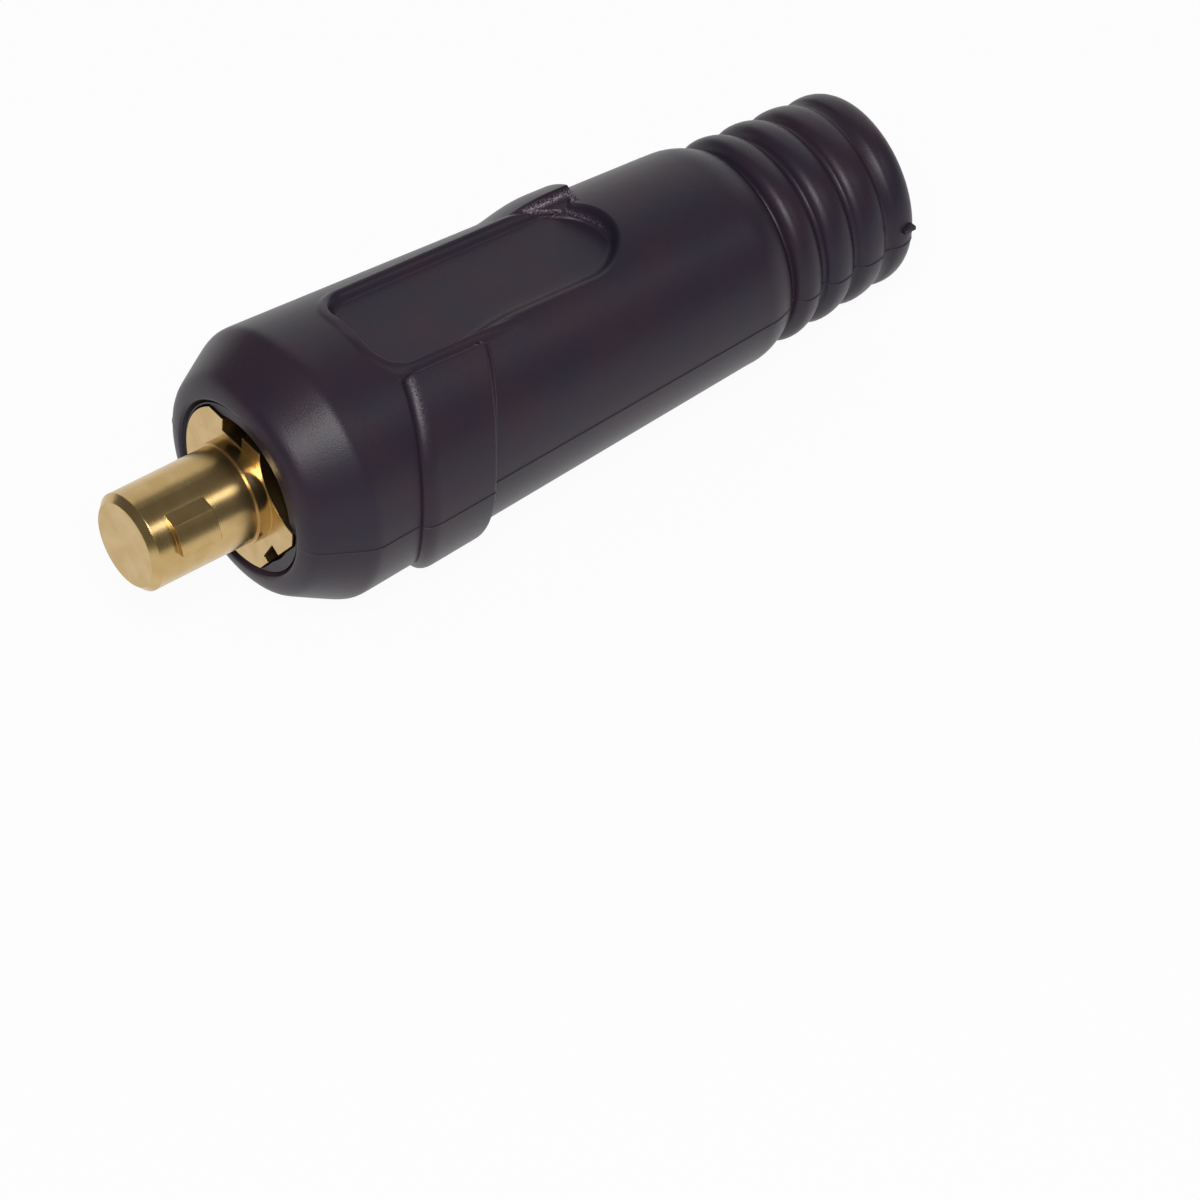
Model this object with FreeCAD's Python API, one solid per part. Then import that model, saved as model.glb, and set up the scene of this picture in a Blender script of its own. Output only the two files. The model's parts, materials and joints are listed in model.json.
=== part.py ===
import FreeCAD, Part
import math
import os

# Welding cable plug, male half of a bayonet pair, lying at rest on its rubber boot.
# A brass plug body carries the contact pin and its bayonet lug at the front and the cable
# bore at the back. Two grub screws clamp the cable. A moulded rubber boot covers the body
# and slides back along the cable, so that the screws can be reached.
# Working frame: the plug's axis is X with the pin's tip at x = 0 and the cable end at +X.
# Up is +Z, the side of the boot's upper pad. The near side is -Y. Lengths are millimetres.

os.makedirs("parts", exist_ok=True)
V = FreeCAD.Vector

# Contact pin and bayonet lug
pin_radius = 6.5
pin_length = 17.0
tip_chamfer = 0.9
lug_front_x = 3.5
lug_length = 5.7
lug_rise = 0.95
lug_ramp_start_angle = 30.0
lug_top_start_angle = 45.0
lug_end_angle = 76.0
lug_root_depth = 0.5
root_collar_radius = 6.8
root_collar_length = 1.8

# Flange behind the pin, with its flats, scallop and two slots
flange_radius = 10.9
flange_thickness = 4.5
top_flat_height = 8.85
low_flat_distance = 9.5
low_flat_angle = 125.0
scallop_radius = 8.3
scallop_angle = 53.0
scallop_clear_of_pin = 0.15
top_slot_width = 4.0
top_slot_floor = 7.0
top_slot_offset = 1.6
low_slot_width = 3.5
low_slot_floor = 8.05
low_slot_angle = 117.0
low_slot_offset = 2.2

# Barrel behind the flange, with the cable bore and the clamp screws
barrel_radius = 9.8
barrel_length = 44.5
barrel_chamfer = 0.6
cable_bore_radius = 5.2
cable_bore_depth = 36.0
cable_bore_chamfer = 0.7
drill_point_angle = 31.0
screw_radius = 4.0
screw_length = 5.0
screw_thread_clearance = 0.05
screw_above_bore = 0.05
screw_front_from_barrel_end = 26.0
screw_spacing = 14.0
screw_end_chamfer = 0.4
hex_across_flats = 4.0
hex_depth = 2.6

# Boot outside: nose, tapering grip and end ring
nose_in_front_of_flange = 0.2
mouth_radius = 11.75
nose_face_radius = 14.9
nose_face_lean = 0.7
nose_edge_round = 0.6
shoulder_radius = 18.33
nose_cone_length = 7.6
grip_rear_x = 88.9
grip_rear_radius = 14.76
grip_rear_drop = 1.6

# Bellows: round beads between grooves, then the end ring
groove_first_x = 94.35
groove_pitch = 5.35
groove_width = 0.8
groove_bottom_radius = 12.3
bead_count = 3
bead_first_radius = 13.9
bead_radius_step = 0.3
end_ring_radius = 12.9
end_ring_length = 4.7
end_ring_crest = 1.8
end_ring_front_drop = 0.5
end_ring_rear_drop = 2.2

# Raised bands on the two sides of the grip. The near one bows towards the nose.
near_band_x = 31.6
near_band_length = 11.3
near_band_rise = 1.3
near_band_front_bow = 4.1
near_band_rear_bow = 5.7
near_band_gap = 0.7
far_band_x = 62.9
far_band_length = 11.3
far_band_rise = 1.2
far_band_front_round = 5.6
band_edge = 0.5

# Thumb pad: a sunk floor inside a low raised rim, alike above and below
pad_front_x = 33.4
pad_rear_x = 73.7
pad_half_width = 7.55
pad_front_corner = 4.2
pad_floor_radius_at_front = 15.2
pad_floor_slope = 0.058
pad_rim_width = 1.05
pad_rim_rise = 0.45
rest_flat_depth = 0.4

# Straight facets that stand for each round in the boot's outlines
edge_facets = 3
bead_facets = 4
bow_facets = 6

# Where the turned outlines start, clear of every plane that the part is symmetric about
seam_angle = 11.0

# Boot inside
boot_wall_gap = 0.3
pocket_mouth_chamfer = 0.9
cavity_radius = 11.45
cavity_behind_barrel = 1.2
cavity_rear_cone = 3.0
rib_count = 5
rib_width = 3.0
entry_radius = 8.75
entry_chamfer = 0.8

# Mould flash along the parting plane
nib_length = 1.9
nib_reach = 0.55
nib_thickness = 0.5

# Derived places along the axis
flange_front_x = pin_length
barrel_front_x = flange_front_x + flange_thickness
barrel_rear_x = barrel_front_x + barrel_length
bore_floor_x = barrel_rear_x - cable_bore_depth
drill_point_length = cable_bore_radius * math.tan(math.radians(drill_point_angle))
screw_front_x = barrel_rear_x - screw_front_from_barrel_end
screw_rear_x = screw_front_x + screw_spacing
boot_front_x = flange_front_x - nose_in_front_of_flange
shoulder_x = boot_front_x + nose_cone_length
boot_rear_x = groove_first_x + bead_count * groove_pitch + groove_width / 2 + end_ring_length
pocket_rear_x = barrel_front_x + boot_wall_gap
cavity_rear_x = barrel_rear_x + cavity_behind_barrel
x_axis = V(1, 0, 0)


def around(angle, radius, x=0.0):
    """A point at an angle from the top, counted towards the near side."""
    a = math.radians(angle)
    return V(x, -radius * math.sin(a), radius * math.cos(a))


def revolve(points):
    """Turn a closed outline of (x, radius) corners about the plug's axis."""
    wire = Part.makePolygon([around(seam_angle, r, x) for x, r in points + points[:1]])
    return Part.Face(wire).revolve(V(0, 0, 0), x_axis, 360)


def rod(x0, x1, radius):
    return revolve([(x0, 0), (x0, radius), (x1, radius), (x1, 0)])


def outside_flat(angle, distance, x0, x1):
    """A block that fills everything beyond a flat whose normal points at the angle."""
    width = 2 * flange_radius
    block = Part.makeBox(x1 - x0, width, flange_radius, V(x0, -width / 2, distance))
    block.rotate(V(0, 0, 0), x_axis, angle)
    return block


def slot(angle, floor, width, offset, x0, x1):
    """A square slot from its floor outwards, shifted sideways by the offset."""
    block = Part.makeBox(x1 - x0, width, flange_radius, V(x0, offset - width / 2, floor))
    block.rotate(V(0, 0, 0), x_axis, angle)
    return block


# Brass plug body


def lug():
    """Bayonet lug: a curved land with a sloped ramp on its upper side."""
    top = pin_radius + lug_rise
    base = pin_radius - lug_root_depth
    middle = (lug_top_start_angle + lug_end_angle) / 2
    land = Part.Arc(
        around(lug_top_start_angle, top), around(middle, top), around(lug_end_angle, top)
    ).toShape()
    edges = [
        Part.makeLine(around(lug_ramp_start_angle, base), around(lug_ramp_start_angle, pin_radius)),
        Part.makeLine(around(lug_ramp_start_angle, pin_radius), around(lug_top_start_angle, top)),
        land,
        Part.makeLine(around(lug_end_angle, top), around(lug_end_angle, base)),
        Part.makeLine(around(lug_end_angle, base), around(lug_ramp_start_angle, base)),
    ]
    face = Part.Face(Part.Wire(edges))
    face.translate(V(lug_front_x, 0, 0))
    return face.extrude(V(lug_length, 0, 0))


def flange():
    """Round flange cut by two flats, a milled scallop and two square slots."""
    x0 = flange_front_x
    x1 = barrel_front_x
    disc = rod(x0, x1, flange_radius)
    scallop_distance = root_collar_radius + scallop_clear_of_pin + scallop_radius
    centre = around(scallop_angle, scallop_distance, x0)
    scallop = Part.makeCylinder(scallop_radius, x1 - x0, centre, x_axis)
    cuts = [
        outside_flat(0, top_flat_height, x0, x1),
        outside_flat(low_flat_angle, low_flat_distance, x0, x1),
        scallop,
        slot(0, top_slot_floor, top_slot_width, top_slot_offset, x0, x1),
        slot(low_slot_angle, low_slot_floor, low_slot_width, -low_slot_offset, x0, x1),
    ]
    return disc.cut(Part.makeCompound(cuts))


def screw_hole(x):
    radius = screw_radius + screw_thread_clearance
    return Part.makeCylinder(radius, flange_radius, V(x, 0, 0), V(0, 0, 1))


def plug_body():
    turned = revolve([
        (0, 0),
        (0, pin_radius - tip_chamfer),
        (tip_chamfer, pin_radius),
        (pin_length - root_collar_length, pin_radius),
        (pin_length - root_collar_length, root_collar_radius),
        (barrel_front_x, root_collar_radius),
        (barrel_front_x, barrel_radius),
        (barrel_rear_x - barrel_chamfer, barrel_radius),
        (barrel_rear_x, barrel_radius - barrel_chamfer),
        (barrel_rear_x, 0),
    ])
    body = turned.fuse([flange(), lug()]).removeSplitter()
    bore = revolve([
        (bore_floor_x - drill_point_length, 0),
        (bore_floor_x, cable_bore_radius),
        (barrel_rear_x - cable_bore_chamfer, cable_bore_radius),
        (barrel_rear_x, cable_bore_radius + cable_bore_chamfer),
        (barrel_rear_x + 1, cable_bore_radius + cable_bore_chamfer),
        (barrel_rear_x + 1, 0),
    ])
    return body.cut([bore, screw_hole(screw_front_x), screw_hole(screw_rear_x)])


# Clamp screws


def grub_screw(x):
    """Hex-socket grub screw, standing upright in its tapped hole."""
    foot = cable_bore_radius + screw_above_bore
    blank = Part.makeCylinder(screw_radius, screw_length, V(x, 0, foot))
    ends = [e for e in blank.Edges if isinstance(e.Curve, Part.Circle)]
    blank = blank.makeChamfer(screw_end_chamfer, ends)
    corner = hex_across_flats / math.sqrt(3)
    top = foot + screw_length
    hexagon = [
        V(x + corner * math.cos(math.radians(60 * k)), corner * math.sin(math.radians(60 * k)), top)
        for k in range(7)
    ]
    socket = Part.Face(Part.makePolygon(hexagon)).extrude(V(0, 0, -hex_depth))
    return blank.cut(socket)


# Rubber boot


def grip_radius(x):
    """Radius of the plain grip, which tapers evenly from the shoulder to its rear end."""
    share = (x - shoulder_x) / (grip_rear_x - shoulder_x)
    return shoulder_radius + (grip_rear_radius - shoulder_radius) * share


def grip_line(x0, x1, rise):
    """The grip's outline between two places, raised by a fixed amount."""
    return [(x, grip_radius(x) + rise) for x in (x0, x1)]


def rounded(x0, r0, x1, r1):
    """Corners of a quarter round that leaves (x0, r0) along the axis and ends at (x1, r1)."""
    turns = [math.radians(90 * k / edge_facets) for k in range(edge_facets + 1)]
    return [(x0 + (x1 - x0) * math.sin(a), r1 + (r0 - r1) * math.cos(a)) for a in turns]


def bead_radius(k):
    return bead_first_radius - k * bead_radius_step


def nose_and_grip():
    """Nose with its leaning face, the shoulder, and the grip down to the first groove."""
    edge_x = boot_front_x + nose_face_lean
    end_length = groove_first_x - groove_width / 2 - grip_rear_x
    shares = [(k + 1) / edge_facets for k in range(edge_facets)]
    end = [(grip_rear_x + end_length * t, grip_rear_radius - grip_rear_drop * t * t) for t in shares]
    return revolve(
        [
            (boot_front_x, 0),
            (boot_front_x, mouth_radius),
            (edge_x, nose_face_radius - nose_edge_round),
            (edge_x + nose_edge_round, nose_face_radius),
        ]
        + grip_line(shoulder_x, grip_rear_x, 0)
        + end
        + [(grip_rear_x + end_length, 0)]
    )


def bead(k):
    """One round bead of the bellows, between two grooves."""
    half = (groove_pitch - groove_width) / 2
    middle = groove_first_x + (k + 0.5) * groove_pitch
    rise = bead_radius(k) - groove_bottom_radius
    curve = (half * half + rise * rise) / (2 * rise)
    sweep = math.asin(half / curve)
    turns = [sweep * (2 * j / bead_facets - 1) for j in range(bead_facets + 1)]
    crest = [
        (middle + curve * math.sin(a), bead_radius(k) - curve * (1 - math.cos(a))) for a in turns
    ]
    return revolve([(middle - half, 0)] + crest + [(middle + half, 0)])


def end_ring():
    """Plain ring at the cable end: a crest near its front and a long round behind it."""
    x0 = boot_rear_x - end_ring_length
    x1 = boot_rear_x
    crest_x = x0 + end_ring_crest
    r = end_ring_radius
    rear = rounded(crest_x, r, x1, r - end_ring_rear_drop)
    return revolve([(x0, 0), (x0, r - end_ring_front_drop)] + rear + [(x1, 0)])


def bellows():
    core = rod(groove_first_x - groove_width / 2, boot_rear_x - end_ring_length, groove_bottom_radius)
    return [core] + [bead(k) for k in range(bead_count)] + [end_ring()]


def bowed_edge(x, bow):
    """Corners of a band's edge in side view, bowed backwards from the parting plane."""
    shares = [2 * k / bow_facets - 1 for k in range(bow_facets + 1)]
    return [V(x + bow * t * t, 0, shoulder_radius * t) for t in shares]


def near_band():
    """The near side's band, which wraps the grip from pad to pad between two bowed edges."""
    x1 = near_band_x + near_band_length
    edges = bowed_edge(near_band_x, near_band_front_bow)
    edges += bowed_edge(x1, near_band_rear_bow)[::-1]
    reach = 2 * shoulder_radius
    plan = Part.Face(Part.makePolygon(edges + edges[:1])).extrude(V(0, -reach, 0))
    plan.translate(V(0, -pad_half_width - pad_rim_width - near_band_gap, 0))
    x_end = x1 + near_band_rear_bow
    skin = [(near_band_x, cavity_radius)] + grip_line(near_band_x, x_end, near_band_rise)
    ring = revolve(skin + [(x_end, cavity_radius)])
    return ring.common(plan)


def far_band():
    """The far side's band: it swells slowly from the front and ends in a square step."""
    x1 = far_band_x + far_band_length
    inner = pad_half_width + pad_rim_width / 2
    top_x = far_band_x + far_band_front_round
    start = rounded(top_x, grip_radius(top_x) + far_band_rise, far_band_x, grip_radius(far_band_x))
    ring = revolve(
        [(far_band_x, cavity_radius)]
        + start[::-1]
        + [
            (x1 - band_edge, grip_radius(x1 - band_edge) + far_band_rise),
            (x1, grip_radius(x1) + far_band_rise - band_edge),
            (x1, cavity_radius),
        ]
    )
    reach = 2 * shoulder_radius
    window = Part.makeBox(far_band_length, reach, 2 * reach, V(far_band_x, inner, -reach))
    return ring.common(window)


def pad_outline(grow):
    """Plan of the pad: square front with round corners and a half-round rear end."""
    w = pad_half_width + grow
    x0 = pad_front_x - grow
    x1 = pad_rear_x + grow
    c = pad_front_corner + grow
    k = c * (1 - math.sqrt(0.5))
    edges = [
        Part.makeLine(V(x0, -w + c, 0), V(x0, w - c, 0)),
        Part.Arc(V(x0, w - c, 0), V(x0 + k, w - k, 0), V(x0 + c, w, 0)).toShape(),
        Part.makeLine(V(x0 + c, w, 0), V(x1 - w, w, 0)),
        Part.Arc(V(x1 - w, w, 0), V(x1, 0, 0), V(x1 - w, -w, 0)).toShape(),
        Part.makeLine(V(x1 - w, -w, 0), V(x0 + c, -w, 0)),
        Part.Arc(V(x0 + c, -w, 0), V(x0 + k, -w + k, 0), V(x0, -w + c, 0)).toShape(),
    ]
    return Part.Face(Part.Wire(edges))


def pad_rim():
    """Low rim that follows the grip's surface round each pad."""
    ring = pad_outline(pad_rim_width).cut(pad_outline(0))
    ring.translate(V(0, 0, cavity_radius))
    wall = ring.extrude(V(0, 0, shoulder_radius))
    x0 = pad_front_x - pad_rim_width
    x1 = pad_rear_x + pad_rim_width
    skin = revolve([(x0, 0)] + grip_line(x0, x1, pad_rim_rise) + [(x1, 0)])
    upper = wall.common(skin)
    return [upper, upper.mirror(V(0, 0, 0), V(0, 0, 1))]


def pad_recess():
    """The sunk floors: the pad's plan, cut down to a floor that follows the taper."""
    height = 2 * shoulder_radius
    block = pad_outline(0).extrude(V(0, 0, height))
    above = Part.makeBox(pad_rear_x, height, height, V(0, -height / 2, 0))
    above.rotate(V(0, 0, 0), V(0, 1, 0), math.degrees(math.atan(pad_floor_slope)))
    above.translate(V(pad_front_x, 0, pad_floor_radius_at_front))
    above.translate(V(-pad_front_corner, 0, pad_front_corner * pad_floor_slope))
    upper = block.common(above)
    return [upper, upper.mirror(V(0, 0, 0), V(0, 0, 1))]


def rest_line():
    """The line through the crests of a pad's rim, ahead of the pad and behind it."""
    places = [pad_front_x - pad_rim_width, pad_rear_x + pad_rim_width]
    return [(x, grip_radius(x) + pad_rim_rise - rest_flat_depth) for x in places]


def rest_slope():
    (x0, r0), (x1, r1) = rest_line()
    return math.degrees(math.atan((r0 - r1) / (x1 - x0)))


def rest_flats():
    """Small flats on the rims' crests, on which the plug lies without rolling."""
    x0, r0 = rest_line()[0]
    reach = 2 * shoulder_radius
    above = Part.makeBox(pad_rear_x, reach, reach, V(0, -reach / 2, 0))
    above.translate(V(-pad_rim_width, 0, 0))
    above.rotate(V(0, 0, 0), V(0, 1, 0), rest_slope())
    above.translate(V(x0, 0, r0))
    return [above, above.mirror(V(0, 0, 0), V(0, 0, 1))]


def nib():
    """Small tab of mould flash on the end ring, on the near parting line."""
    x0 = boot_rear_x - end_ring_length + end_ring_crest - nib_length / 2
    y0 = -(end_ring_radius + nib_reach)
    return Part.makeBox(nib_length, 3 * nib_reach, nib_thickness, V(x0, y0, -nib_thickness / 2))


def boot_inside():
    """Pocket for the flange, ribbed cavity round the barrel and the cable entry."""
    pocket_radius = flange_radius + boot_wall_gap
    pocket = revolve([
        (boot_front_x - 1, 0),
        (boot_front_x - 1, mouth_radius),
        (boot_front_x, mouth_radius),
        (boot_front_x + pocket_mouth_chamfer, pocket_radius),
        (pocket_rear_x, pocket_radius),
        (pocket_rear_x, 0),
    ])
    cavity = revolve([
        (pocket_rear_x - 0.5, 0),
        (pocket_rear_x - 0.5, pocket_radius),
        (pocket_rear_x, pocket_radius),
        (pocket_rear_x, cavity_radius),
        (cavity_rear_x, cavity_radius),
        (cavity_rear_x + cavity_rear_cone, entry_radius),
        (boot_rear_x - entry_chamfer, entry_radius),
        (boot_rear_x, entry_radius + entry_chamfer),
        (boot_rear_x + 1, entry_radius + entry_chamfer),
        (boot_rear_x + 1, 0),
    ])
    rib_inner = barrel_radius + boot_wall_gap
    rib_length = cavity_rear_x - pocket_rear_x
    ribs = []
    for k in range(rib_count):
        angle = 360 / rib_count * (k + 0.5)
        block = Part.makeBox(
            rib_length, rib_width, cavity_radius, V(pocket_rear_x, -rib_width / 2, 0)
        )
        block.rotate(V(0, 0, 0), x_axis, angle)
        ribs.append(block)
    ribs = Part.makeCompound(ribs).cut(rod(pocket_rear_x, cavity_rear_x, rib_inner))
    return pocket.fuse(cavity.cut(ribs))


def rubber_boot():
    outside = nose_and_grip().fuse(bellows() + [near_band(), far_band(), nib()] + pad_rim())
    return outside.cut(pad_recess() + rest_flats() + [boot_inside()]).removeSplitter()


# Resting place: the plug lies on the lower rim's flats, so it is tipped by their slope

nodes = {
    "plug_body": plug_body(),
    "front_clamp_screw": grub_screw(screw_front_x),
    "rear_clamp_screw": grub_screw(screw_rear_x),
    "rubber_boot": rubber_boot(),
}
for shape in nodes.values():
    shape.rotate(V(0, 0, 0), V(0, 1, 0), rest_slope())
whole = Part.makeCompound(list(nodes.values())).optimalBoundingBox(False, False)
place = V(-(whole.XMin + whole.XMax) / 2, -(whole.YMin + whole.YMax) / 2, -whole.ZMin)
for name, shape in nodes.items():
    shape.translate(place)
    solid = shape.Solids[0]
    solid.exportStep("parts/" + name + ".step")
    print(name, "solids", len(shape.Solids), "valid", shape.isValid(), "volume", round(shape.Volume, 1))
tip = V(0, 0, 0)
turn_place = FreeCAD.Placement(place, FreeCAD.Rotation(V(0, 1, 0), rest_slope()))
print("rest slope", round(rest_slope(), 3), "tip", turn_place.multVec(tip))
print("axis", turn_place.Rotation.multVec(x_axis), "screw axis", turn_place.Rotation.multVec(V(0, 0, 1)))
print("bore mouth", turn_place.multVec(V(barrel_rear_x, 0, 0)), "entry", turn_place.multVec(V(boot_rear_x, 0, 0)))
print("screws at", screw_front_x, screw_rear_x, "boot rear", boot_rear_x, "box", whole)
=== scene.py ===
import json
import math

import bmesh
import bpy
import numpy as np
from mathutils import Matrix, Vector
from mathutils.geometry import delaunay_2d_cdt


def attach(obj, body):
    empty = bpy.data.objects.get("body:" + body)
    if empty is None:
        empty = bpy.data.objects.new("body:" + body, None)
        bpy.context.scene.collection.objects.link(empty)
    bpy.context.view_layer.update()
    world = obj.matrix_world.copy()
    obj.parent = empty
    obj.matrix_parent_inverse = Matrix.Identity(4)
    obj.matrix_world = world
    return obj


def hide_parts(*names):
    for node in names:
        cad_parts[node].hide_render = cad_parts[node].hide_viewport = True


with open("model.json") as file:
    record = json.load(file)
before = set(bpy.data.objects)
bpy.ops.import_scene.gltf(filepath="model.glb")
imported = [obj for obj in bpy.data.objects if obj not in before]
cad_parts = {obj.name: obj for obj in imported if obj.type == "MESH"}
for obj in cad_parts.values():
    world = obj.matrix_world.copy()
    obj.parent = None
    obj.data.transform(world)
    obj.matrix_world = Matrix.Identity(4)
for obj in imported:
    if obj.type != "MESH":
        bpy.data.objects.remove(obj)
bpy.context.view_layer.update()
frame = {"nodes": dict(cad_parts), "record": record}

# Brass plug body
# One piece of free-turning brass, turned and then milled: the contact pin with its bayonet lug,
# the flange with its flats, scallop and slots, and the barrel that holds the cable.

# The plug lies tipped a little nose up, so its axis comes from the mount on its pin.
millimetre = 0.001
pin_mount = next(m for m in frame["record"]["mounts"] if m["name"] == "bayonet_pin")
pin_tip = np.array(pin_mount["pos_m"])
plug_axis = -np.array(pin_mount["axis"])
plug_side = np.array([0.0, 1.0, 0.0])
plug_up = np.cross(plug_axis, plug_side)
plug_axes = np.stack([plug_axis, plug_side, plug_up])


class Socket:
    """A shader value: a link or a number, with arithmetic that adds nodes."""

    def __init__(self, tree, value):
        self.tree = tree
        self.value = value

    def node(self, kind, settings, outlet=0, **inputs):
        """One node of any type: its settings first, then its sockets by name or as _ and number."""
        made = self.tree.nodes.new(kind)
        for key, setting in settings.items():
            if key == "stops":
                ramp = made.color_ramp
                while len(ramp.elements) < len(setting):
                    ramp.elements.new(0.5)
                for stop, (place, colour) in zip(ramp.elements, setting):
                    stop.position = place
                    stop.color = (*colour, 1)
            else:
                setattr(made, key, setting)
        for key, value in inputs.items():
            inlet = made.inputs[int(key[1:])] if key[0] == "_" else made.inputs[key.replace("_", " ")]
            if isinstance(value, Socket):
                self.tree.links.new(value.value, inlet)
            else:
                inlet.default_value = value
        return Socket(self.tree, made.outputs[outlet])

    def maths(self, operation, *values):
        """One Math node on its values."""
        inputs = {f"_{k}": value for k, value in enumerate(values)}
        return self.node("ShaderNodeMath", {"operation": operation}, **inputs)

    def __add__(self, other):
        return self.maths("ADD", self, other)

    def __radd__(self, other):
        return self.maths("ADD", other, self)

    def __mul__(self, other):
        return self.maths("MULTIPLY", self, other)

    def __rmul__(self, other):
        return self.maths("MULTIPLY", other, self)


def plug_places(tree):
    """Place on the plug in millimetres from the pin's tip: along the axis, to the far side and up."""
    start = Socket(tree, None)
    place = start.node("ShaderNodeTexCoord", {}, "Object")
    turn = Matrix(plug_axes.tolist()).to_euler()
    offset = -(plug_axes @ pin_tip) / millimetre
    return start.node(
        "ShaderNodeMapping", {"vector_type": "POINT"},
        Vector=place, Location=tuple(offset), Rotation=tuple(turn), Scale=(1 / millimetre,) * 3,
    )


def finish_of(name):
    """A new material, its tree and its surface shader."""
    material = bpy.data.materials.new(name)
    material.use_nodes = True
    tree = material.node_tree
    return material, tree, tree.nodes["Principled BSDF"]


brass, tree, shader = finish_of("turned_brass")
place = plug_places(tree)
along = place.node("ShaderNodeSeparateXYZ", {}, 0, Vector=place)
lathe = place.node(
    "ShaderNodeTexNoise", {"noise_dimensions": "1D"}, 0, W=along * 8.0, Scale=1.0, Detail=4.0,
)
stain = place.node("ShaderNodeTexNoise", {}, 0, Vector=place, Scale=0.35, Detail=3.0)
colour = place.node(
    "ShaderNodeValToRGB", {"stops": [(0.35, (0.58, 0.41, 0.19)), (0.65, (0.51, 0.35, 0.14))]}, 0,
    Fac=stain,
)
tree.links.new(colour.value, shader.inputs["Base Color"])
shader.inputs["Metallic"].default_value = 1.0
rough = 0.2 + lathe * 0.1
tree.links.new(rough.value, shader.inputs["Roughness"])
edge = place.node("ShaderNodeBevel", {"samples": 4}, 0, Radius=0.00015)
bump = place.node("ShaderNodeBump", {}, 0, Strength=0.18, Distance=0.00002, Height=lathe, Normal=edge)
tree.links.new(bump.value, shader.inputs["Normal"])
frame["nodes"]["plug_body"].data.materials.clear()
frame["nodes"]["plug_body"].data.materials.append(brass)

# Clamp screws
# Two grub screws of plated steel with a hex socket. Each stands in its tapped hole in the
# barrel, under the boot, and presses on the cable when it is turned in.

screw_steel, tree, shader = finish_of("black_steel")
shader.inputs["Base Color"].default_value = (0.08, 0.08, 0.085, 1)
shader.inputs["Metallic"].default_value = 1.0
shader.inputs["Roughness"].default_value = 0.35
for node in ("front_clamp_screw", "rear_clamp_screw"):
    frame["nodes"][node].data.materials.clear()
    frame["nodes"][node].data.materials.append(screw_steel)

# Rubber boot
# One moulding of hard charcoal rubber, pushed over the body: a nose, a grip with two raised bands
# and two sunk thumb pads, and a bellows of beads. Its mould parted on the plane of its two sides.

# In millimetres, with places along the axis counted from the pin's tip.
boot_front = 16.8
boot_rear = 115.5
mouth_radius = 11.75
nose_lip_round = 0.5
shoulder_x = 24.4
shoulder_radius = 18.33
grip_rear_x = 88.9
grip_rear_radius = 14.76
grip_rear_drop = 1.6
groove_first = 94.35
groove_pitch = 5.35
groove_width = 0.8
groove_half_floor = 0.3
groove_radius = 12.3
groove_round = 0.1
bead_radii = [13.9, 13.6, 13.3]
bead_crest = 1.7
bead_power = 1.2
bead_steps = 16
end_ring_radius = 12.9
end_ring_crest = 1.8
end_ring_front_length = 1.3
end_ring_front_drop = 0.5
end_ring_front_steps = 5
end_ring_rear_drop = 2.2
rear_face_radius = 10.2
rear_steps = 8

entry_radius = 8.75
entry_round = 0.8
entry_places = [111.0, 100.0, 85.0]
cavity_front = 21.8
cavity_rear = 67.2
cavity_radius = 11.45
cavity_cone = 3.0
cavity_edge = 0.3
cavity_places = [50.0, 35.0]
pocket_front = 17.7
pocket_radius = 11.2

near_band_front = 31.25
near_band_rear = 42.15
near_band_rise = 1.3
near_band_round = 2.2
near_band_fall = 1.1
near_band_sides = (8.4, 9.6)
near_band_radius = 17.9
front_bow = {1: 0.0135, -1: 0.0190}
rear_bow = {1: 0.0190, -1: 0.0040}
far_band_front = 62.6
far_band_swell = 8.0
far_band_power = 1.3
far_band_rear = 73.6
far_band_fall = 0.9
far_band_rise = 1.17
far_band_sides = (7.8, 8.5)

pad_front = 33.4
pad_rear = 73.7
pad_half_width = 7.55
pad_corner = 4.2
pad_floor = 15.2
pad_floor_slope = 0.058
rest_cut_depth = 0.4
wall_width = 0.9
wall_top_inset = 0.02
near_wall_extra = 1.4
near_wall_sides = (1.0, 6.0)
near_wall_places = (44.0, 54.0)
far_wall_extra = 0.4
far_wall_sides = (3.0, 7.0)
rim_width = 1.05
rim_rise = 0.45
rim_crest = (0.15, 0.6)
rim_slope = 0.35
rail_sides = (3.0, 6.5)
rail_start = (34.5, 37.5)
near_rail_end = (46.5, 55.0)
far_rail_end = (63.5, 67.0)
front_rail_share = 0.35
front_rail_end = (34.0, 38.0)

ledge_front = 66.15
ledge_sides = (5.0, 8.35)
ledge_corner = (72.5, 4.6)
ledge_slant = (0.843, 0.538)
ledge_step = 0.3
ledge_step_width = 0.12
ledge_border_rise = 0.2
ledge_border_width = 0.22
ledge_back_border = 0.72
ledge_front_border = 0.1

parting_rise = 0.12
parting_half_width = 0.16
parting_least_radius = 12.1
parting_at = 27.0
plan_half_width = 12.0
zone_front = 30.0
zone_rear = 79.0

lean_side = np.array([0.0, 0.766, 0.643])
lean_places = [16.8, 24.0, 40.0, 88.0, 97.0, 113.0]
lean_slopes = [-0.006, -0.015, 0.0, 0.0, 0.018, 0.034]
sag_places = [88.0, 97.0, 113.0]
sag_depths = [0.0, 0.19, 0.12]


def ease(value, low, high):
    """Smooth step from 0 at low to 1 at high."""
    t = np.clip((value - low) / (high - low), 0, 1)
    return t * t * (3 - 2 * t)


def ridge(distance, half_width, peak=1):
    """1 where a distance is nought, falling evenly beside it. A peak over 1 is cut off flat at 1."""
    return np.clip(peak - np.abs(distance) / half_width, 0, 1)


def grip_radius(x):
    """The plain grip tapers evenly from the shoulder to its rear end."""
    t = (x - shoulder_x) / (grip_rear_x - shoulder_x)
    return shoulder_radius + (grip_rear_radius - shoulder_radius) * t


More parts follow.
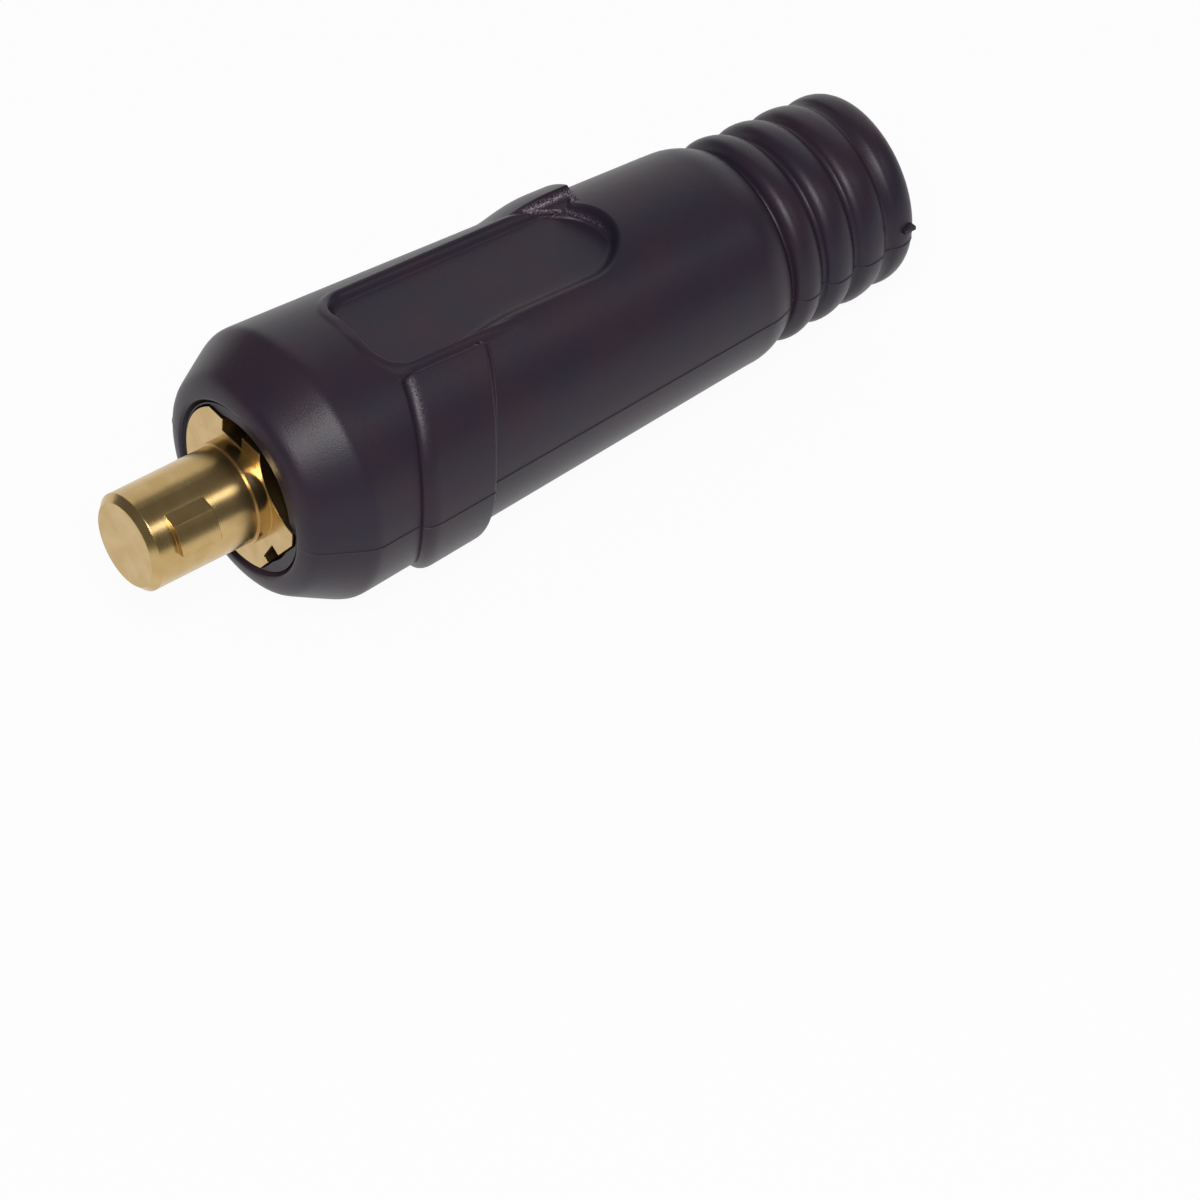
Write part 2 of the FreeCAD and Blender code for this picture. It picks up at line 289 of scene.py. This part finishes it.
def bend(points):
    """The moulding's small crookedness: a shoulder that leans and a tail that sags."""
    points = np.array(points, float)
    along = points[:, 0].copy()
    points[:, 0] += np.interp(along, lean_places, lean_slopes) * (points @ lean_side)
    points -= np.interp(along, sag_places, sag_depths)[:, None] * lean_side
    return points


def turn_at(v, radius):
    """Angle from the top for a place v across the plan, up to the parting line."""
    a = np.abs(v)
    split = np.arcsin(plan_half_width / radius)
    beyond = np.clip((a - plan_half_width) / (parting_at - plan_half_width), 0, 1)
    return np.where(
        a <= plan_half_width, np.arcsin(np.minimum(a, plan_half_width) / radius),
        split + (math.pi / 2 - split) * beyond,
    )


def near_band_edges(v, half):
    """Where the near band's foot starts and its top ends, bowed away from the parting line."""
    height = near_band_radius * np.cos(turn_at(v, near_band_radius))
    foot = near_band_front + front_bow[half] * height**2
    return foot, near_band_rear + rear_bow[half] * height**2


def pad_distance(x, y):
    """Distance outside the pad's outline in plan, negative inside it."""
    a = np.abs(y)
    rear_x = pad_rear - pad_half_width
    ahead = pad_front + pad_corner - x
    beside = a - (pad_half_width - pad_corner)
    past_corner = np.hypot(np.maximum(ahead, 0), np.maximum(beside, 0))
    front = past_corner + np.minimum(np.maximum(ahead, beside), 0) - pad_corner
    rear = np.hypot(np.maximum(x - rear_x, 0), a) - pad_half_width
    return np.maximum(front, rear)


def ledge_distance(x, y):
    """Distance outside the small three-cornered ledge at the far band's end."""
    slant = ledge_slant[0] * (x - ledge_corner[0]) - ledge_slant[1] * (y - ledge_corner[1])
    sides = np.maximum(y - ledge_sides[1], ledge_sides[0] - y)
    return np.maximum(np.maximum(sides, ledge_front - x), slant)


def band_rise(x, v, half):
    """Rise of the two side bands over the plain grip."""
    a = np.abs(v)
    foot, top_end = near_band_edges(v, half)
    climb = np.clip((x - foot) / near_band_round, 0, 1)
    drop = 1 - ease(x, top_end, top_end + near_band_fall)
    near = near_band_rise * np.sqrt(1 - (1 - climb) ** 2) * drop * ease(a, *near_band_sides) * (v < 0)
    swell = np.sin(math.pi / 2 * np.clip((x - far_band_front) / far_band_swell, 0, 1)) ** far_band_power
    far_end = 1 - ease(x, far_band_rear, far_band_rear + far_band_fall)
    far = far_band_rise * swell * far_end * ease(a, *far_band_sides) * (v > 0)
    return near + far


def rim_height(x, v, d, half):
    """Height of the pad's soft rim: whole below, and above it only a rail on each side."""
    near = ease(-v, *rail_sides) * (1 - ease(x, *near_rail_end))
    far = ease(v, *rail_sides) * (1 - ease(x, *far_rail_end))
    front = front_rail_share * (1 - ease(x, *front_rail_end))
    rail = front + np.maximum(near, far) * ease(x, *rail_start)
    shape = ease(d, -rim_slope, rim_crest[0]) * (1 - ease(d, rim_crest[1], rim_width + rim_slope))
    return rim_rise * shape * (rail if half > 0 else 1.0)


def skin_height(x, v, half=1):
    """Places across and up on one half of the boot's skin."""
    a = np.abs(v)
    d = pad_distance(x, v)
    rise = np.maximum(rim_height(x, v, d, half), band_rise(x, v, half))
    radius = grip_radius(x) + rise + parting_rise * ridge(parting_at - a, parting_half_width)
    theta = turn_at(v, radius)
    y = np.sign(v) * radius * np.sin(theta)
    z = radius * np.cos(theta)
    front_crest = grip_radius(pad_front - rim_width) + rim_rise
    rear_crest = grip_radius(pad_rear + rim_width) + rim_rise
    slope = (front_crest - rear_crest) / (pad_rear - pad_front + 2 * rim_width)
    z = np.minimum(z, front_crest - rest_cut_depth - slope * (x - pad_front + rim_width))
    ledge = ledge_distance(x, v)
    back_border = ridge(ledge + ledge_back_border, ledge_border_width) * (d > 0)
    front_border = ridge(d - ledge_front_border, ledge_border_width)
    floor_z = pad_floor - pad_floor_slope * (x - pad_front)
    floor_z = floor_z + ledge_step * ease(d, -ledge_step_width, 0.0)
    floor_z = floor_z + ledge_border_rise * np.maximum(back_border, front_border)
    near_extra = near_wall_extra * ease(-v, *near_wall_sides) * ease(x, *near_wall_places)
    width = wall_width + near_extra + far_wall_extra * ease(v, *far_wall_sides)
    hole = np.minimum(d, ledge)
    wall = ease(hole, -width, -wall_top_inset)
    return y, np.where(hole < 0, floor_z * (1 - wall) + z * wall, z)


rear_arc_steps = 32
long_side_steps = 28
corner_steps = 12
front_side_steps = 7


def pad_loop(distance):
    """Points of a line at one distance from the pad's outline."""
    w = pad_half_width + distance
    c = pad_corner + distance
    front_x = pad_front + pad_corner
    rear_x = pad_rear - pad_half_width
    points = []
    for k in range(rear_arc_steps + 1):
        t = math.pi * (k / rear_arc_steps - 0.5)
        points.append((rear_x + w * math.cos(t), w * math.sin(t)))
    for k in range(1, long_side_steps):
        points.append((rear_x + (front_x - rear_x) * k / long_side_steps, w))
    for k in range(corner_steps + 1):
        t = math.pi / 2 * (1 + k / corner_steps)
        points.append((front_x + c * math.cos(t), w - c + c * math.sin(t)))
    for k in range(1, front_side_steps):
        points.append((front_x - c, (w - c) * (1 - 2 * k / front_side_steps)))
    for k in range(corner_steps + 1):
        t = math.pi * (1 + k / corner_steps / 2)
        points.append((front_x + c * math.cos(t), -(w - c) + c * math.sin(t)))
    for k in range(1, long_side_steps):
        points.append((front_x + (rear_x - front_x) * k / long_side_steps, -w))
    return points


def spread(ends_and_steps):
    """Places from one end to the next, each stretch with its own step."""
    places = []
    for low, high, step in ends_and_steps:
        count = max(1, round((high - low) / step))
        places += [low + (high - low) * k / count for k in range(count)]
    return places + [ends_and_steps[-1][1]]


side_places = spread([
    (0, 7.5, 1.25), (7.5, 9.9, 0.12), (9.9, 12.0, 0.7),
    (12.0, 26.6, 1.0), (26.6, 27.0, 0.08),
])
side_places = [-s for s in side_places[:0:-1]] + side_places
length_places = spread([
    (zone_front, 33.4, 0.7), (33.4, 73.4, 0.9), (73.4, 74.8, 0.09), (74.8, zone_rear, 0.7),
])
band_lines_side = 8.9
foot_steps = [
    -0.7, -0.35, -0.15, -0.05, 0.0, 0.03, 0.08, 0.16, 0.3, 0.5, 0.75, 1.1, 1.5, 1.9, 2.2, 2.6,
]
foot_room = (1.1, 3.0)
top_end_steps = [-1.0, -0.5, -0.2, -0.05, 0.1, 0.25, 0.4, 0.55, 0.7, 0.85, 1.0, 1.15, 1.4, 1.8]
top_end_room = (1.4, 2.2)
loop_distances = [
    -2.6, -1.9, -1.4, -1.1, -0.9, -0.75, -0.62, -0.5, -0.4, -0.3, -0.2, -0.1, -0.02,
    0.08, 0.2, 0.35, 0.55, 0.75, 0.95, 1.15, 1.35, 1.6,
]
loop_reach = 1.75
loop_reach_by_band = 1.2
loop_band_side = 8.8
patch_ends = (66.0, 75.6)
patch_sides = (5.4, 8.7)
patch_step = 0.13
pad_floor_places = spread([(38.0, 68.0, 2.5)])
pad_floor_sides = (-3.6, 0.0, 3.6)
plan_tolerance = 1e-4


def in_patch(x, v):
    """Whether a place is in the finely divided patch round the ledge."""
    return patch_ends[0] < x < patch_ends[1] and patch_sides[0] < v < patch_sides[1]


def by_near_band(x, v, half):
    """Whether a place is so near the near band's foot or top end that their own lines serve."""
    if v >= -band_lines_side:
        return False
    foot, top_end = near_band_edges(v, half)
    by_foot = foot - foot_room[0] < x < foot + foot_room[1]
    return by_foot or top_end - top_end_room[0] < x < top_end + top_end_room[1]


def zone_points(half):
    """Flat plan of the grip's zone with the bands and a pad: its points and the lines to keep."""
    points = []
    lines = []
    for x in length_places:
        for v in side_places:
            clear = pad_distance(x, v) > loop_reach and not in_patch(x, v)
            clear = clear and not by_near_band(x, v, half)
            if clear or x in (zone_front, zone_rear):
                points.append((x, v))
    beside = [v for v in side_places if v < -band_lines_side]
    feet, top_ends = near_band_edges(np.array(beside), half)
    for start_x, steps in ((feet, foot_steps), (top_ends, top_end_steps)):
        for step in steps:
            first = len(points)
            points += [(float(x), v) for x, v in zip(start_x + step, beside)]
            lines += [(first + k, first + k + 1) for k in range(len(beside) - 1)]
    for distance in loop_distances:
        for x, v in pad_loop(distance):
            by_band = v < -loop_band_side and pad_distance(x, v) > loop_reach_by_band
            if not in_patch(x, v) and not by_band:
                points.append((x, v))
    for x in spread([(*patch_ends, patch_step)]):
        points += [(x, v) for v in spread([(*patch_sides, patch_step)])]
    for x in pad_floor_places:
        points += [(x, v) for v in pad_floor_sides]
    return points, lines


# Painted highlights: pale lines on the ledge's borders, at the pad's rear wall and step, and on the
# near band's foot, where these edges catch the light.
back_highlight_inset = 0.5
back_highlight_width = 0.3
back_highlight_peak = 1.3
wall_highlight_inset = 0.62
wall_highlight_width = 0.12
wall_highlight_peak = 1.2
wall_highlight_places = (67.5, 68.5)
wall_highlight_sides = (-3.0, 5.0)
wall_highlight_share = 0.5
step_highlight_at = 0.1
step_highlight_width = 0.16
step_highlight_peak = 1.2
step_highlight_inset = 0.4
foot_highlight_at = 1.0
foot_highlight_width = 0.8
foot_highlight_start = (9.0, 10.0)
foot_highlight_end = (12.0, 18.0)
foot_highlight_share = 0.3


def painted_highlight_share(x, v, half):
    """Where pale painted highlight lies on the skin: round the ledge, on the pad's wall and the band's
    foot.
    """
    d = pad_distance(x, v)
    ledge = ledge_distance(x, v)
    back = ridge(ledge + back_highlight_inset, back_highlight_width, back_highlight_peak) * (d > step_highlight_at)
    pad_wall = ridge(d + wall_highlight_inset, wall_highlight_width, wall_highlight_peak)
    pad_wall = wall_highlight_share * (pad_wall * ease(x, *wall_highlight_places) * ease(v, *wall_highlight_sides))
    step = ridge(d - step_highlight_at, step_highlight_width, step_highlight_peak) * (ledge < -step_highlight_inset)
    foot, top_end = near_band_edges(v, half)
    band_foot = ridge(x - foot - foot_highlight_at, foot_highlight_width) * ease(-v, *foot_highlight_start)
    band_foot = band_foot * (1 - ease(-v, *foot_highlight_end)) * foot_highlight_share
    return np.maximum(np.maximum(back, step), np.maximum(pad_wall, band_foot)) * (half > 0)


points = []
faces = []
painted_highlights = []


def add_part(part_points, part_faces):
    """Adds a part of the boot to its points and faces."""
    start = sum(len(p) for p in points)
    points.append(np.asarray(part_points, float))
    faces.extend(tuple(k + start for k in face) for face in part_faces)


for half in (1, -1):
    plan, lines = zone_points(half)
    joined = delaunay_2d_cdt([Vector(p) for p in plan], lines, [], 0, plan_tolerance)
    plan = np.array([tuple(p) for p in joined[0]])
    zone_y, zone_z = skin_height(plan[:, 0], plan[:, 1], half)
    add_part(np.stack([plan[:, 0], zone_y, half * zone_z], 1), joined[2])
    painted_highlights.append(painted_highlight_share(plan[:, 0], plan[:, 1], half))


def edge_angles(x):
    """Angles from the top at which the zone's edge line has its points."""
    y, z = skin_height(np.full(len(side_places), x), np.array(side_places))
    return np.arctan2(y, z)


def arc(centre_x, centre_r, radius, start, end, steps):
    """Outline points round an arc, its angles counted from straight outwards."""
    turns = [math.radians(start + (end - start) * k / steps) for k in range(steps + 1)]
    return [(centre_x + radius * math.sin(t), centre_r + radius * math.cos(t)) for t in turns]


def nose_outline():
    """The mouth's soft lip, the leaning face, its rounded edge, the cone and the shoulder."""
    lip = arc(boot_front + nose_lip_round, mouth_radius + nose_lip_round, nose_lip_round, -180, -80, 6)
    face = [(16.84, 12.7), (16.95, 13.2), (17.12, 13.7), (17.35, 14.15), (17.65, 14.55), (18.05, 14.9)]
    cone = [(18.6, 15.23), (19.4, 15.67), (20.5, 16.27), (21.7, 16.92), (22.7, 17.45)]
    shoulder = [(23.3, 17.76), (23.8, 18.0), (24.2, 18.15), (24.6, 18.25), (25.1, 18.28)]
    grip = [(x, float(grip_radius(x))) for x in spread([(25.7, zone_front, 0.85)])]
    return lip + face + cone + shoulder + grip


def groove_floor(x):
    """The rounded floor of one groove between two beads."""
    side = groove_radius + groove_round
    return [(x - groove_half_floor, side), (x, groove_radius), (x + groove_half_floor, side)]


def tail_outline():
    """The grip's rear end, three round beads between grooves, the end ring and its face."""
    outline = [(x, float(grip_radius(x))) for x in spread([(zone_rear, grip_rear_x, 1.0)])]
    end_length = groove_first - groove_width / 2 - grip_rear_x
    for k in range(1, rear_steps + 1):
        t = k / rear_steps
        outline.append((grip_rear_x + end_length * t, grip_rear_radius - grip_rear_drop * t * t))
    for k, crest in enumerate(bead_radii):
        groove_x = groove_first + k * groove_pitch
        outline += groove_floor(groove_x)
        crest_x = groove_x + groove_width / 2 + bead_crest
        rear_length = groove_pitch - groove_width - bead_crest
        for step in range(1, bead_steps):
            turn = math.pi * step / bead_steps
            length = bead_crest if turn < math.pi / 2 else rear_length
            rise = (crest - groove_radius - groove_round) * math.sin(turn) ** bead_power
            outline.append((crest_x - length * math.cos(turn), groove_radius + groove_round + rise))
    groove_x = groove_first + len(bead_radii) * groove_pitch
    outline += groove_floor(groove_x)
    crest_x = groove_x + groove_width / 2 + end_ring_crest
    for k in range(1, end_ring_front_steps + 1):
        t = math.pi / 2 * (1 - k / end_ring_front_steps)
        outline.append((
            crest_x - end_ring_front_length * math.sin(t),
            end_ring_radius - end_ring_front_drop * (1 - math.cos(t)),
        ))
    for k in range(1, rear_steps + 1):
        t = math.pi / 2 * k / rear_steps
        outline.append((
            crest_x + (boot_rear - crest_x) * math.sin(t),
            end_ring_radius - end_ring_rear_drop * (1 - math.cos(t)),
        ))
    outline += [(boot_rear, rear_face_radius), (boot_rear, entry_radius + entry_round)]
    return outline


def inside_outline():
    """From the rear face through the cable's entry, the cavity and the pocket to the mouth's lip."""
    entry = [boot_rear - entry_round, *entry_places, cavity_rear + cavity_cone]
    cavity = [cavity_rear, cavity_rear - cavity_edge, *cavity_places, cavity_front + cavity_edge]
    outline = [(boot_rear, entry_radius + entry_round)]
    outline += [(x, entry_radius) for x in entry]
    outline += [(x, cavity_radius) for x in (*cavity, cavity_front)]
    outline += [(x, pocket_radius) for x in (cavity_front, pocket_front)]
    return outline + [(boot_front + nose_lip_round, mouth_radius)]


def turned_strip(outline, front_angles, rear_angles):
    """Half of a turned skin, its angles running from the front's to the rear's."""
    outline = np.array(outline)
    count = len(front_angles)
    share = np.clip((outline[:, 0] - zone_front) / (zone_rear - zone_front), 0, 1)[:, None]
    angles = front_angles * (1 - share) + rear_angles * share
    radius = outline[:, 1][:, None] * np.ones(count)
    outside = outline[:, 1] > parting_least_radius
    parting = ridge((math.pi / 2 - np.abs(angles)) * radius, parting_half_width)
    radius = radius + parting_rise * parting * outside[:, None]
    x = np.repeat(outline[:, 0], count)
    grid = np.stack([x, (radius * np.sin(angles)).ravel(), (radius * np.cos(angles)).ravel()], 1)
    quads = []
    for i in range(len(outline) - 1):
        for j in range(count - 1):
            k = i * count + j
            quads.append((k, k + 1, k + count + 1, k + count))
    return grid, quads


front_angles = edge_angles(zone_front)
rear_angles = edge_angles(zone_rear)
for outline in (nose_outline(), tail_outline(), inside_outline()):
    grid, quads = turned_strip(outline, front_angles, rear_angles)
    for flip in (1, -1):
        add_part(grid * [1, 1, flip], quads)


def turned_corner(x, across, radius, angle):
    """A point beside a radial line at an angle from the top, towards the near side."""
    return (
        x, -radius * math.sin(angle) + across * math.cos(angle),
        radius * math.cos(angle) + across * math.sin(angle),
    )


block_sides = [(0, 1, 2, 3), (7, 6, 5, 4), (0, 4, 5, 1), (1, 5, 6, 2), (2, 6, 7, 3), (3, 7, 4, 0)]


def add_block(ends, ring, angle):
    """A closed block on a radial line: a ring of four corners (across, radius) at its two ends."""
    corners = [turned_corner(x, across, radius, angle) for x in ends for across, radius in ring]
    add_part(corners, block_sides)


rib_count = 5
rib_radius = 10.1
rib_half_width = 1.5
rib_root = 0.3
rib_front = cavity_front - 0.1
rib_ring = [
    (-rib_half_width, rib_radius), (rib_half_width, rib_radius),
    (rib_half_width, cavity_radius + rib_root), (-rib_half_width, cavity_radius + rib_root),
]
for k in range(rib_count):
    add_block((rib_front, cavity_rear), rib_ring, 2 * math.pi / rib_count * (k + 0.5))

nib_ends = (112.5, 114.3)
nib_ring = [(-0.4, 12.0), (0.4, 12.0), (0.25, 13.5), (-0.25, 13.5)]
nib_angle = math.radians(79)
add_block(nib_ends, nib_ring, nib_angle)

flange_radius = 10.9
flange_flats = [(8.85, 0.0), (9.5, math.radians(125))]
flat_least_cosine = 0.5
scallop_centre = 15.25
scallop_radius = 8.3
scallop_angle = math.radians(53)
land_gap = 0.25
land_least_radius = 9.95
land_outer_radius = 11.35
land_front = 17.35
land_stations = 120


def land_radius(angle):
    """How far in the lands behind the mouth reach: they follow the flange with a small gap."""
    reaches = [flange_radius]
    for flat, middle in flange_flats:
        if math.cos(angle - middle) > flat_least_cosine:
            reaches.append(flat / math.cos(angle - middle))
    aside = scallop_centre * math.sin(angle - scallop_angle)
    ahead = scallop_centre * math.cos(angle - scallop_angle)
    if abs(aside) < scallop_radius and ahead > 0:
        reaches.append(ahead - math.sqrt(scallop_radius**2 - aside**2))
    return max(land_least_radius, min(reaches) + land_gap)


lands = []
land_faces = []
for station in range(land_stations):
    angle = math.radians(360 / land_stations * station)
    inner = land_radius(angle)
    lands += [turned_corner(x, 0.0, inner, angle) for x in (land_front, cavity_front)]
    lands += [turned_corner(x, 0.0, land_outer_radius, angle) for x in (cavity_front, land_front)]
    after = (station + 1) % land_stations
    for corner in range(4):
        turned = (corner + 1) % 4
        land_faces.append((
            4 * station + corner, 4 * station + turned, 4 * after + turned, 4 * after + corner,
        ))
add_part(lands, land_faces)

weld_distance = 2e-6
crease_angle = math.radians(60)


def lay(points):
    """Places in the shared frame of points in millimetres along the plug, to its far side and up."""
    points = np.asarray(points, float)
    return pin_tip + millimetre * (points @ plug_axes)


def laid_piece(name, points, faces, painted_highlights, body, nodes):
    """A closed mesh piece in place of CAD nodes, riding on their body."""
    mesh = bpy.data.meshes.new(name)
    mesh.from_pydata(lay(points).tolist(), [], faces)
    # Each point's share of painted highlight, kept for the rubber's colour.
    mesh.attributes.new("scuff", "FLOAT", "POINT").data.foreach_set("value", painted_highlights)
    piece = bpy.data.objects.new(name, mesh)
    bpy.context.scene.collection.objects.link(piece)
    work = bmesh.new()
    work.from_mesh(mesh)
    bmesh.ops.remove_doubles(work, verts=work.verts, dist=weld_distance)
    bmesh.ops.recalc_face_normals(work, faces=work.faces)
    work.to_mesh(mesh)
    work.free()
    mesh.shade_smooth()
    mesh.set_sharp_from_angle(angle=crease_angle)
    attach(piece, body)
    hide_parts(*nodes)
    return piece


skin = bend(np.concatenate(points))
# Painted highlight shares, nought on the turned parts and the blocks.
painted_highlights = np.concatenate(painted_highlights + [np.zeros(len(skin) - sum(len(s) for s in painted_highlights))])
boot = laid_piece("boot_skin", skin, faces, painted_highlights, "boot", ["rubber_boot"])

rubber, tree, shader = finish_of("moulded_rubber")
place = plug_places(tree)
mottle = place.node("ShaderNodeTexNoise", {}, 0, Vector=place, Scale=0.12, Detail=3.0)
grain = place.node("ShaderNodeTexNoise", {}, 0, Vector=place, Scale=6.0, Detail=4.0)
colour = place.node(
    "ShaderNodeValToRGB", {"stops": [(0.38, (0.029, 0.017, 0.027)), (0.62, (0.022, 0.017, 0.029))]}, 0,
    Fac=mottle,
)
# Painted highlight: a pale colour, broken by speckle, mixed in where the skin's edges catch the light.
scuff = place.node("ShaderNodeAttribute", {"attribute_name": "scuff"}, "Fac")
speckle = place.node("ShaderNodeTexNoise", {}, 0, Vector=place, Scale=5.0, Detail=2.0)
highlight_speckle = place.node(
    "ShaderNodeMapRange", {"interpolation_type": "SMOOTHSTEP"},
    Value=speckle, From_Min=0.4, From_Max=0.65, To_Min=0.0, To_Max=1.0,
)
painted_highlight_colour = (0.34, 0.28, 0.33, 1)
colour = place.node(
    "ShaderNodeMix", {"data_type": "RGBA"}, 2, _0=scuff * highlight_speckle, _6=colour, _7=painted_highlight_colour,
)
tree.links.new(colour.value, shader.inputs["Base Color"])
shader.inputs["Specular IOR Level"].default_value = 0.25
rough = 0.32 + grain * 0.1
tree.links.new(rough.value, shader.inputs["Roughness"])
bump = place.node("ShaderNodeBump", {}, 0, Strength=0.5, Distance=0.00005, Height=grain)
tree.links.new(bump.value, shader.inputs["Normal"])
boot.data.materials.append(rubber)

# Floor and light
# A white table without end, under a large soft lamp above the camera, a small one to the
# camera's right and a broad one low on the far side.

floor_mesh = bpy.data.meshes.new("floor")
floor_reach = 30.0
floor_corners = [
    (-floor_reach, -floor_reach, 0), (floor_reach, -floor_reach, 0),
    (floor_reach, floor_reach, 0), (-floor_reach, floor_reach, 0),
]
floor_mesh.from_pydata(floor_corners, [], [(0, 1, 2, 3)])
floor = bpy.data.objects.new("floor", floor_mesh)
bpy.context.scene.collection.objects.link(floor)
paper, tree, shader = finish_of("white_paper")
shader.inputs["Base Color"].default_value = (0.75, 0.75, 0.75, 1)
shader.inputs["Roughness"].default_value = 0.9
start = Socket(tree, shader.outputs[0])
seen = start.node("ShaderNodeLightPath", {}, "Is Camera Ray")
shine = start.node("ShaderNodeLightPath", {}, "Is Glossy Ray")
through = start.node("ShaderNodeLightPath", {}, "Is Transmission Ray")
glow = start.node("ShaderNodeEmission", {}, 0, Color=(1, 1, 1, 1), Strength=1.0)
paper_white = 0.95
mixed = start.node(
    "ShaderNodeMixShader", {}, 0, _0=(seen + shine + through) * paper_white, _1=start, _2=glow,
)
tree.links.new(mixed.value, tree.nodes["Material Output"].inputs["Surface"])
floor_mesh.materials.append(paper)

world = bpy.data.worlds.new("studio")
bpy.context.scene.world = world
world.use_nodes = True
world.node_tree.nodes["Background"].inputs["Color"].default_value = (1, 1, 1, 1)
world.node_tree.nodes["Background"].inputs["Strength"].default_value = 0.15


def soft_light(name, direction, distance, size, power):
    """A rectangular lamp that faces the plug from a direction given along the plug."""
    place = Vector(distance * (np.array(direction) @ plug_axes))
    lamp = bpy.data.lights.new(name, "AREA")
    lamp.shape = "RECTANGLE"
    lamp.size, lamp.size_y = size
    lamp.energy = power
    light = bpy.data.objects.new(name, lamp)
    light.location = place
    light.rotation_mode = "QUATERNION"
    light.rotation_quaternion = (-place).to_track_quat("-Z", "Y")
    bpy.context.scene.collection.objects.link(light)


soft_light("main", direction=(-0.42, -0.45, 0.79), distance=1.0, size=(0.34, 0.36), power=7.6)
soft_light("side", direction=(0.43, -0.52, 0.74), distance=1.0, size=(0.2, 0.26), power=0.7)
soft_light("backdrop", direction=(0.66, 0.63, 0.42), distance=1.6, size=(1.9, 1.5), power=6.5)

# Camera
# Where the photograph was taken from: high on the near side, ahead of the pin, with a long lens.

camera = bpy.data.objects.new("camera", bpy.data.cameras.new("camera"))
bpy.context.scene.collection.objects.link(camera)
bpy.context.scene.camera = camera
azimuth = math.radians(-39.075)
elevation = math.radians(47.192)
roll = math.radians(0.995)
camera.data.sensor_width = 36.0
camera.data.lens = 199.6
camera.location = (-0.359852, -0.462708, 0.605179)
level = Vector((math.cos(azimuth), math.sin(azimuth), 0))
outward = math.cos(elevation)
back = Vector((math.sin(azimuth) * outward, -math.cos(azimuth) * outward, math.sin(elevation)))
upright = back.cross(level)
right = level * math.cos(roll) + upright * math.sin(roll)
top = upright * math.cos(roll) - level * math.sin(roll)
camera.rotation_mode = "QUATERNION"
camera.rotation_quaternion = Matrix((right, top, back)).transposed().to_quaternion()

bpy.context.scene.view_settings.view_transform = "Standard"
